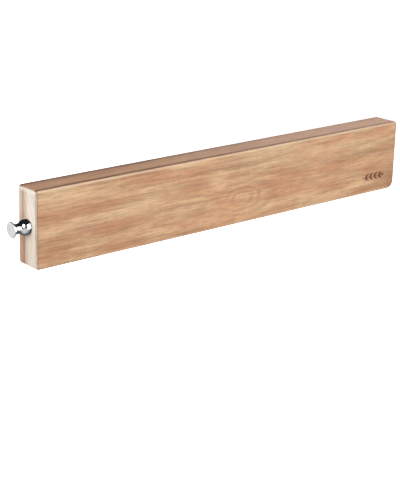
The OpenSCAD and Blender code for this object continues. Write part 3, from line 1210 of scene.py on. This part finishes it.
@dataclass
class Boards:
    """The bar: a front board grooved for the magnets and a back board let in for the hangers."""

    effects: Effects
    corner: float = 2.4
    sanded_corner: float = 6.0
    front_ease: float = 1.2
    back_ease: float = 0.7
    joint_ease: float = 0.12
    stem: Pair = (23.0, 0.6)
    leaf: Pair = (5.5, 1.9)
    leaf_pairs: int = 4
    leaf_angle: float = 30.0
    mark_depth: float = 0.3
    mark_place: Pair = (26.0, 13.5)
    groove_play: float = 0.2
    insert_depth: float = 12.3
    insert_radius: float = 3.25
    low: Vector = field(init=False)
    high: Vector = field(init=False)

    def __post_init__(self) -> None:
        """Reads the bar's corners from the frame."""
        self.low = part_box("front_board")[0]
        self.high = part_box("back_board")[1]

    def _plank(self, name: str, node: str, open_y: float, ease: float) -> Work:
        """Makes a board with rounded corners and one eased face.

        Args:
            name: The piece's name.
            node: The frame's node that gives its size.
            open_y: Where its outer face lies along Y, in metres.
            ease: The rounding round its outer face, in millimetres.

        Returns:
            The board before its grooves and holes.
        """
        low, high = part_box(node)
        board = Work.block(name, low, high)

        def corner_edge(edge: bmesh.types.BMEdge) -> bool:
            """Tells whether an edge crosses the board at the corners being rounded."""
            a, b = (v.co for v in edge.verts)
            return abs(a.y - b.y) > MM and (a.x > 0 and a.z < 0) == sanded

        for sanded, radius, segments in ((True, self.sanded_corner, 10), (False, self.corner, 8)):
            board.round_edges(corner_edge, radius * MM, segments)
        for y, radius, segments in (
            (open_y, ease, 5),
            (low.y + high.y - open_y, self.joint_ease, 1),
        ):
            board.round_edges(
                lambda e: all(abs(v.co.y - y) < SAME for v in e.verts), radius * MM, segments
            )
        return board

    @staticmethod
    def _fit(board: Work, slot: str, node: str) -> None:
        """Cleans a cut board, keeps it out of the knob's reflections, and puts it on the bar.

        Args:
            board: The board.
            slot: Its material slot.
            node: The frame's node that it stands for.
        """
        board.tidy()
        board.smooth()
        board.obj.visible_glossy = False
        board.install("bar", slot, node)

    def _sprig(self) -> list[Work]:
        """Makes the cutters for the sprig mark: a stem, pairs of leaves, and one leaf at its tip.

        Returns:
            The cutters.
        """
        length, width = self.leaf
        arc = (length**2 + width**2) / (4 * width)
        in_from_right, up = self.mark_place
        middle = Vector((self.high.x - in_from_right * MM, self.low.y, self.low.z + up * MM))
        depth = 2 * self.mark_depth * MM
        stem_length, stem_width = self.stem
        reach = Vector((stem_length, 2 * self.mark_depth, stem_width)) * MM / 2
        start = middle - Vector((stem_length / 2 * MM, 0, 0))
        step = stem_length / (self.leaf_pairs + 0.5)

        def leaf(name: str, along_stem: float, angle: float) -> Work:
            """Makes one leaf, which starts at a distance along the stem and leans by an angle."""
            stalk = start + Vector((along_stem * MM, 0, 0))
            centre = stalk + Vector((length / 2 * MM, 0, 0))
            off = Vector((0, 0, arc - width / 2)) * MM
            blade = Work.rod(name, centre + off, arc * MM, depth, sides=96)
            blade.keep_common(Work.rod(name + "_half", centre - off, arc * MM, depth, sides=96))
            blade.tilt(stalk, "Y", angle)
            return blade

        cutters = [Work.block("stem", middle - reach, middle + reach)]
        for pair in range(self.leaf_pairs):
            for turn in (-1, 1):
                cutters.append(leaf(f"leaf_{pair}_{turn}", (pair + 0.5) * step, turn * self.leaf_angle))
        cutters.append(leaf("leaf_tip", stem_length - step / 2, 0))
        return cutters

    def front(self) -> None:
        """Makes the front board, which hides the magnets behind a thin skin."""
        board = self._plank("front_board_wood", "front_board", self.low.y, self.front_ease)
        board.dress(FRONT_WOOD.make(self.effects, self.low, self.high), BURN.make())
        play = Vector((self.groove_play, 0, self.groove_play)) * MM
        open_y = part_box("back_board")[0].y + MM
        for row in ("upper", "lower"):
            low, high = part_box(f"{row}_steel_strip")
            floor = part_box(f"{row}_magnet_1")[0].y
            groove = Work.block(
                "groove", Vector((low.x, floor, low.z)) - play, Vector((high.x, open_y, high.z)) + play
            )
            groove.dress(board.obj.data.materials[0])
            board.cut(groove)
        low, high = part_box("peg_insert")
        middle = (low + high) / 2
        deep, wide = -self.insert_depth, self.insert_radius
        hole = Work.turned(
            "insert_hole", [(deep, 0), (deep, wide), (1, wide), (1, 0)],
            Vector((self.low.x, middle.y, middle.z)), steps=64,
        )
        hole.dress(board.obj.data.materials[0])
        board.cut(hole)
        for part in self._sprig():
            part.dress(board.obj.data.materials[1])
            board.cut(part)
        self._fit(board, "front_wood", "front_board")

    def back(self, hangers: "Hangers") -> None:
        """Makes the back board with a recess and a pocket for each hanger.

        Args:
            hangers: The hangers that it holds.
        """
        board = self._plank("back_board_wood", "back_board", self.high.y, self.back_ease)
        board.dress(BACK_WOOD.make(self.effects, self.low, self.high))
        for side in Side:
            for cutter in hangers.cutters(side):
                cutter.dress(board.obj.data.materials[0])
                board.cut(cutter)
        self._fit(board, "back_wood", "back_board")


class Side(Enum):
    """The two ends of the bar that carry a hanger."""

    LEFT = "left"
    RIGHT = "right"

    @property
    def plate(self) -> str:
        """The name of that side's hanger plate."""
        return f"{self.value}_hanger_plate"


@dataclass
class Hangers:
    """The pressed keyhole plates let into the back and the screws that hold them."""

    effects: Effects
    width: float = 18.0
    entry: float = 9.0
    entry_z: float = -4.0
    slot: float = 4.6
    travel: float = 10.0
    pocket_floor: float = -6.0
    pocket_radius: float = 5.0
    screw: float = 3.0
    head: float = 6.0
    head_depth: float = 1.5
    screw_length: float = 6.0
    hole_depth: float = 6.2
    recess_play: float = 0.2
    screw_play: float = 0.1
    driver: Triple = (3.6, 0.7, 0.9)
    plate_ease: float = 0.12
    screw_ease: float = 0.06

    def _middle(self, side: Side) -> Vector:
        """Gives the middle of a side's plate."""
        low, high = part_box(side.plate)
        return (low + high) / 2

    def _screw_heights(self) -> list[float]:
        """Gives the heights of a plate's two screws, in metres."""
        low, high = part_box("hanger_screws")
        return [low.z + self.head * MM / 2, high.z - self.head * MM / 2]

    def cutters(self, side: Side) -> list[Work]:
        """Makes the shapes that a side's recess, pocket and screw holes take out of the back board.

        Args:
            side: The hanger's side.

        Returns:
            The cutters.
        """
        low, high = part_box(side.plate)
        middle = self._middle(side)
        radius = self.width / 2 * MM
        step = (high.z - low.z) / 2 - radius
        foot = Vector((middle.x, (low.y + MM) / 2, -step))
        recess = Work.slot("recess", foot, radius + self.recess_play * MM, MM - low.y, 2 * step)
        pocket_y = self.pocket_floor * MM
        pocket = Work.slot(
            "pocket", Vector((middle.x, (pocket_y + MM) / 2, self.entry_z * MM)),
            self.pocket_radius * MM, MM - pocket_y, self.travel * MM,
        )
        deep = self.hole_depth * MM
        holes = [
            Work.rod("hole", Vector((middle.x, -deep / 2, z)), self.screw / 2 * MM, deep, sides=32)
            for z in self._screw_heights()
        ]
        return [recess, pocket, *holes]

    def _countersink(self, x: float, z: float, y: float, grow: float, length: float) -> Work:
        """Makes a countersunk screw shape that points into the wood.

        Args:
            x: Where its axis lies along X, in metres.
            z: Where its axis lies along Z, in metres.
            y: Where its head's face lies, in metres.
            grow: How much larger it is all round, in millimetres.
            length: Its length, in millimetres.

        Returns:
            The shape.
        """
        head, neck = self.head / 2 + grow, self.screw / 2 + grow
        shape = Work.turned(
            "screw", [(0, 0), (0, head), (self.head_depth, neck), (length, neck), (length, 0)],
            Vector((0, 0, 0)), steps=48,
        )
        shape.tilt(Vector((0, 0, 0)), "Z", 90)
        shape.activate()
        bpy.ops.transform.translate(value=(x, y, z))
        bpy.ops.object.transform_apply(location=True, rotation=True, scale=True)
        return shape

    def plates(self) -> None:
        """Makes both keyhole plates from one, each with its own mesh."""
        low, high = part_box(Side.LEFT.plate)
        middle = self._middle(Side.LEFT)
        radius = self.width / 2 * MM
        step = (high.z - low.z) / 2 - radius
        plate = Work.slot(
            Side.LEFT.plate + "_stamping", Vector((middle.x, middle.y, -step)), radius,
            high.y - low.y, 2 * step,
        )
        entry = Vector((middle.x, middle.y, self.entry_z * MM))
        through = 2 * (high.y - low.y) + MM
        plate.cut(
            Work.rod("entry", entry, self.entry / 2 * MM, through, sides=64),
            Work.slot("slot", entry, self.slot / 2 * MM, through, self.travel * MM),
            *[
                self._countersink(middle.x, z, high.y, self.screw_play, self.screw_length)
                for z in self._screw_heights()
            ],
        )
        plate.tidy()
        plate.ease_all(self.plate_ease * MM)
        plate.smooth()
        plate.dress(ZINC.make(self.effects))
        shift = Vector((self._middle(Side.RIGHT).x - middle.x, 0, 0))
        other = plate.copy(Side.RIGHT.plate + "_stamping", shift)
        plate.install("bar", "hanger_zinc", Side.LEFT.plate)
        other.install("bar", "hanger_zinc", Side.RIGHT.plate)

    def screws(self) -> None:
        """Makes the four countersunk screws from one."""
        _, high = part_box("hanger_screws")
        heights = self._screw_heights()
        x = self._middle(Side.LEFT).x
        span, width, deep = (v * MM for v in self.driver)
        screw = self._countersink(x, heights[0], high.y, 0, self.screw_length)
        screw.tidy()
        for reach in (Vector((span, 2 * deep, width)), Vector((width, 2 * deep, span))):
            centre = Vector((x, high.y, heights[0]))
            screw.cut(Work.block("driver", centre - reach / 2, centre + reach / 2))
        screw.tidy()
        screw.ease_all(self.screw_ease * MM)
        screw.smooth()
        screw.dress(SCREW.make(self.effects))
        made = [screw]
        for side in Side:
            for level, z in zip(("lower", "upper"), heights):
                name = f"hanger_screw_{side.value}_{level}"
                shift = Vector((self._middle(side).x - x, 0, z - heights[0]))
                if shift.length < MM:
                    screw.obj.name = name
                else:
                    made.append(screw.copy(name, shift))
        for one in made:
            one.install("bar", "screw_steel", "hanger_screws")


@dataclass
class Magnets:
    """Two rows of block magnets, each row backed by a steel strip."""

    effects: Effects
    magnet_ease: float = 0.5
    strip_ease: float = 0.25

    def _row(self, row: str) -> list[str]:
        """Gives the names of a row's magnets, in order."""
        return sorted(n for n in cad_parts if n.startswith(f"{row}_magnet_"))

    def blocks(self) -> None:
        """Makes every magnet from one."""
        names = self._row("upper") + self._row("lower")
        low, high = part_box(names[0])
        block = Work.block(names[0] + "_block", low, high)
        block.ease_all(self.magnet_ease * MM, segments=3)
        block.smooth()
        block.dress(FERRITE.make(self.effects))
        made = [block] + [block.copy(n + "_block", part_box(n)[0] - low) for n in names[1:]]
        for one, name in zip(made, names):
            one.install("bar", "magnet_ferrite", name)

    def strips(self) -> None:
        """Makes both steel strips from one."""
        names = ["upper_steel_strip", "lower_steel_strip"]
        low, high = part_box(names[0])
        strip = Work.block(names[0] + "_rolled", low, high)
        strip.ease_all(self.strip_ease * MM)
        strip.smooth()
        strip.dress(STRIP.make(self.effects))
        other = strip.copy(names[1] + "_rolled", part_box(names[1])[0] - low)
        for one, name in zip((strip, other), names):
            one.install("bar", "strip_steel", name)


@dataclass
class Peg:
    """The hanging peg: a turned knob on a threaded stud, its washer, and the insert in the wood."""

    effects: Effects
    ball: float = 5.75
    ball_centre: float = 1.8
    waist: float = 3.6
    head: float = 5.7
    rim: float = 0.9
    rim_ease: float = 0.25
    flare: float = 3.6
    bore: float = 2.0
    bore_depth: float = 7.0
    bore_ease: float = 0.25
    waist_blend: Pair = (3.0, 1.0)
    pitch: float = 0.7
    thread_depth: float = 0.4
    flank_share: float = 0.36
    flat_share: float = 0.14
    knurl_rings: int = 7
    knurl_start: float = 1.2
    knurl_pitch: float = 1.1
    knurl_depth: float = 0.3
    insert_play: float = 0.05
    insert_ease: float = 0.2
    insert_lip: float = 0.3
    washer_play: float = 0.2
    washer_ease: float = 0.12

    @staticmethod
    def _round(node: str) -> tuple[Vector, float, float]:
        """Measures a turned node.

        Args:
            node: The node's name.

        Returns:
            The point of the axis at its end nearest the wood, in metres, then its length and its
            radius in millimetres.
        """
        low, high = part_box(node)
        foot = Vector((high.x, (low.y + high.y) / 2, (low.z + high.z) / 2))
        return foot, (high.x - low.x) / MM, (high.z - low.z) / 2 / MM

    def _knob_outline(self, length: float) -> Outline:
        """Draws half the knob: bore, foot, ball, waist, flare, rim and face.

        Args:
            length: The knob's length, in millimetres.

        Returns:
            Pairs of distance from the foot and radius.
        """
        foot = math.sqrt(self.ball**2 - self.ball_centre**2)
        start = math.atan2(foot, -self.ball_centre)
        stop = math.asin(self.waist / self.ball)
        body = [
            (self.ball_centre + self.ball * math.cos(a), self.ball * math.sin(a))
            for a in along(30, start, stop)
        ]
        step = self.head - self.waist
        arc = (self.flare**2 + step**2) / (2 * step)
        under = length - self.rim - self.flare
        sweep = math.asin(self.flare / arc)
        body += [(d, self.waist) for d in along(6, body[-1][0], under)[1:-1]]
        body += [
            (under + arc * math.sin(a), self.waist + arc * (1 - math.cos(a)))
            for a in along(16, 0, sweep)
        ]
        before, after = self.waist_blend
        body = self._blend(body, self.ball_centre + before, under + after, passes=14)
        deep, lip = self.bore_depth, self.bore_ease
        bore = [(deep, 0), (deep, self.bore), (lip, self.bore), (0, self.bore + lip)]
        ease = self.rim_ease
        face = [
            (length - ease * (1 - math.sin(a)), self.head - ease * (1 - math.cos(a)))
            for a in along(8, 0, math.pi / 2)
        ]
        face += [(length, self.head - ease - 0.1), (length, 2.0), (length, 0)]
        return bore + body + face

    @staticmethod
    def _blend(points: Outline, start: float, stop: float, passes: int) -> Outline:
        """Softens the corner of an outline between two distances.

        Args:
            points: The outline.
            start: Where the softening starts.
            stop: Where it stops.
            passes: How many times each point moves to the middle of its neighbours.

        Returns:
            The softened outline.
        """
        for _ in range(passes):
            points = [
                ((a[0] + c[0]) / 2, (a[1] + 2 * b[1] + c[1]) / 4) if start < b[0] < stop else b
                for a, b, c in zip([points[0], *points], points, [*points[1:], points[-1]])
            ]
        return points

    def knob(self) -> None:
        """Makes the turned knob with a polished body and a satin face."""
        foot, length, _ = self._round("peg")
        end = foot.x - length * MM
        knob = Work.turned("peg_knob", self._knob_outline(length), foot, steps=112)
        knob.smooth(angle=38)
        face = Vector((end, foot.y, foot.z))
        knob.dress(CHROME.make(self.effects), SATIN.make(self.effects, face))
        knob.paint_faces(lambda f: f.calc_center_median().x < end + 10 * SAME, 1)
        knob.install("peg", "peg_chrome", "peg")

    def washer(self) -> None:
        """Makes the nylon washer, rounded at its edge."""
        foot, thick, outer = self._round("peg_washer")
        inner, ease = self.bore + self.washer_play, self.washer_ease
        half = ease * 0.3
        outline = [
            (0, inner), (0, outer - ease), (half, outer - half), (ease, outer), (thick - ease, outer),
            (thick - half, outer - half), (thick, outer - ease), (thick, inner), (0, inner),
        ]
        washer = Work.turned("peg_washer_ring", outline, foot)
        washer.smooth(angle=50)
        washer.dress(NYLON.make(self.effects))
        washer.install("washer", "washer_nylon", "peg_washer")

    def insert(self) -> None:
        """Makes the brass insert with a knurl of shallow rings."""
        foot, long, outer = self._round("peg_insert")
        inner, ease, lip = self.bore + self.insert_play, self.insert_ease, self.insert_lip
        rings: Outline = []
        for turn in range(self.knurl_rings):
            start, low_r = self.knurl_start + turn * self.knurl_pitch, outer - self.knurl_depth
            rings += [(start, outer), (start + 0.2, low_r), (start + 0.5, low_r), (start + 0.7, outer)]
        outline = [
            (0, inner + lip), (0, outer - ease), (ease, outer), *rings, (long - ease, outer),
            (long, outer - ease), (long, inner + lip), (long - lip, inner), (lip, inner),
            (0, inner + lip),
        ]
        insert = Work.turned("peg_insert_sleeve", outline, foot, steps=64)
        insert.smooth()
        insert.dress(BRASS.make(self.effects))
        insert.install("bar", "insert_brass", "peg_insert")

    def stud(self) -> None:
        """Makes the stud by winding one thread's outline along the axis and trimming both ends."""
        foot, length, radius = self._round("peg_stud")
        root = radius - self.thread_depth
        start = foot + Vector((self.pitch * MM, 0, 0))
        flank, flat = self.pitch * self.flank_share, self.pitch * self.flat_share
        steps = [(flank, radius - root), (flat, 0), (flank, root - radius), (flat, 0)]
        Work.clear_bench()
        bpy.ops.mesh.primitive_plane_add(size=MM, location=start + Vector((0, 0, root * MM)))
        bpy.context.object.name = "peg_stud_screw"
        stud = Work(bpy.context.object)
        stud.shrink_to_point()
        for out, up in steps:
            bpy.ops.mesh.extrude_region_move(TRANSFORM_OT_translate={"value": (-out * MM, 0, up * MM)})
        stud.activate()
        bpy.context.scene.cursor.location = start
        bpy.ops.object.origin_set(type="ORIGIN_CURSOR")
        bpy.context.scene.cursor.location = (0, 0, 0)
        stud.modify(
            "SCREW", axis="X", screw_offset=-self.pitch * MM,
            iterations=math.ceil(length / self.pitch) + 2, steps=40, render_steps=40,
            use_merge_vertices=True, merge_threshold=1e-7,
        )
        bpy.ops.object.transform_apply(location=True, rotation=True, scale=True)
        stud.pick_faces(lambda f: True)
        bpy.ops.mesh.remove_doubles(threshold=SAME)
        for x, outwards in ((foot.x, 1), (foot.x - length * MM, -1)):
            bpy.ops.mesh.select_all(action="SELECT")
            bpy.ops.mesh.bisect(
                plane_co=(x, 0, 0), plane_no=(outwards, 0, 0), use_fill=True, clear_outer=True
            )
        stud.tidy()
        stud.smooth(angle=50)
        stud.dress(STUD.make(self.effects))
        stud.install("peg", "stud_steel", "peg_stud")


# ------------------------------------------------------------------ the studio


class Serves(Enum):
    """What a light panel is for: lighting the surfaces, or showing in their gloss."""

    SHADING = (True, False)
    GLOSS = (False, True)


@dataclass(frozen=True)
class Panel:
    """A soft light panel that faces the rack."""

    name: str
    place: Triple
    size: Pair
    power: float
    serves: Serves = Serves.SHADING

    def hang(self, target: Vector) -> None:
        """Adds the panel and turns it towards a point.

        Args:
            target: The point that it faces, in metres.
        """
        Work.clear_bench()
        bpy.ops.object.light_add(type="AREA", location=self.place)
        panel = bpy.context.object
        panel.name = self.name
        panel.data.shape = "RECTANGLE"
        panel.data.size, panel.data.size_y = self.size
        panel.data.energy = self.power
        panel.rotation_euler = (target - Vector(self.place)).to_track_quat("-Z", "Y").to_euler()
        panel.visible_camera = False
        panel.visible_diffuse, panel.visible_glossy = self.serves.value


@dataclass
class Studio:
    """The pale floor, the soft light and the camera."""

    floor_z: float = -0.9
    floor_size: float = 14.0
    panels: tuple[Panel, ...] = (
        Panel("left_panel", (-3.1, -0.3, 0.45), (1.6, 1.6), 79),
        Panel("front_panel", (0.6, -3.1, 0.45), (2.4, 1.6), 74),
        Panel("top_panel", (1.3, 0.1, 2.4), (1.8, 0.9), 27),
        Panel("right_panel", (3.0, 0.5, 0.45), (1.6, 1.4), 46),
        Panel("back_panel", (0.6, 2.9, 0.5), (2.4, 1.6), 62),
        Panel("low_panel", (0.1, -0.4, -0.85), (1.2, 0.6), 3),
        Panel("left_window", (-1.2, -0.36, 0.5), (1.4, 1.3), 24, Serves.GLOSS),
        Panel("front_window", (0.47, -0.98, 0.3), (1.2, 1.3), 20, Serves.GLOSS),
        Panel("back_window", (0.2, 2.6, -0.6), (2.8, 1.4), 20, Serves.GLOSS),
    )
    target: Triple = (-0.05, -0.01, 0)
    dark: float = 0.015
    grey: float = 0.62
    grey_heights: Pair = (0.12, -0.1)
    grey_turns: Pair = (-0.3, 0.7)
    viewer: Pair = (-0.78, -0.62)
    rim: float = 0.09
    rim_heights: Pair = (0.85, 0.1)
    fill: Colour = (0.14, 0.14, 0.145, 1)
    eye: Triple = (-0.6747, -0.7722, 0.2901)
    heading: float = 40.54
    dip: float = 18.25
    roll: float = 1.38
    lens: float = 103.73

    def lay_floor(self) -> None:
        """Lays a plain pale floor well below the bar."""
        Work.clear_bench()
        bpy.ops.mesh.primitive_plane_add(size=self.floor_size, location=(0, 0, self.floor_z))
        floor = bpy.context.object
        floor.name = "floor"
        paper = Surface(
            "floor_paper", Roughness=0.9, Emission_Strength=1.0, Emission_Color=(1, 1, 1, 1)
        )
        w = paper.wiring
        cloud = w.noise(w.place_mm(), PAPER)
        paper.feed(Base_Color=w.mix(cloud, tint("f8f8f8"), tint("f4f4f4")))
        floor.data.materials.append(paper.material)
        floor.visible_diffuse = floor.visible_glossy = False

    def light(self) -> None:
        """Hangs the panels and sets the surroundings: white behind, with dark and grey in the gloss."""
        for panel in self.panels:
            panel.hang(Vector(self.target))
        world = bpy.data.worlds.new("studio")
        bpy.context.scene.world = world
        world.use_nodes = True
        w = Wiring(world.node_tree)
        world.node_tree.nodes.clear()
        towards = w.node("ShaderNodeTexCoord").outputs["Generated"]
        across, ahead, up = w.split(towards)
        to_viewer = w.plus(w.times(across, self.viewer[0]), w.times(ahead, self.viewer[1]))
        low = w.between(up, *self.grey_heights)
        grey = w.times(w.times(low, w.between(to_viewer, *self.grey_turns)), self.grey)
        rim = w.times(w.between(up, *self.rim_heights), self.rim)
        tone = w.plus(w.plus(grey, rim), self.dark)
        path = w.node("ShaderNodeLightPath")
        tone = w.mix(path.outputs["Is Glossy Ray"], self.fill, w.join(tone, tone, tone))
        tone = w.mix(path.outputs["Is Camera Ray"], tone, (1, 1, 1, 1))
        glow = w.node("ShaderNodeBackground", tone)
        w.node("ShaderNodeOutputWorld", glow.outputs[0])
        bpy.context.scene.view_settings.view_transform = "Standard"

    def set_camera(self) -> None:
        """Stands the camera at the viewing angle, turned by heading, dip and roll."""
        heading, dip, roll = (math.radians(a) for a in (self.heading, self.dip, self.roll))
        level = math.cos(dip)
        ahead = Vector((math.sin(heading) * level, math.cos(heading) * level, -math.sin(dip)))
        side = Vector((math.cos(heading), -math.sin(heading), 0))
        up = side.cross(ahead)
        right = side * math.cos(roll) + up * math.sin(roll)
        above = up * math.cos(roll) - side * math.sin(roll)
        Work.clear_bench()
        bpy.ops.object.camera_add(location=self.eye)
        camera = bpy.context.object
        camera.rotation_euler = Matrix((right, above, -ahead)).transposed().to_euler()
        camera.data.lens = self.lens
        camera.data.sensor_width = 36
        camera.data.clip_start, camera.data.clip_end = 0.05, 60
        bpy.context.scene.camera = camera


def main() -> None:
    """Builds the rack in order: camera and light, boards, hangers, magnets and peg."""
    logging.basicConfig(level=logging.INFO, format="%(message)s")
    studio = Studio()
    studio.set_camera()
    studio.lay_floor()
    studio.light()
    effects = Effects()
    hangers = Hangers(effects)
    boards = Boards(effects)
    boards.front()
    boards.back(hangers)
    hangers.plates()
    hangers.screws()
    magnets = Magnets(effects)
    magnets.strips()
    magnets.blocks()
    peg = Peg(effects)
    peg.insert()
    peg.stud()
    peg.washer()
    peg.knob()


if __name__ == "__main__":
    main()
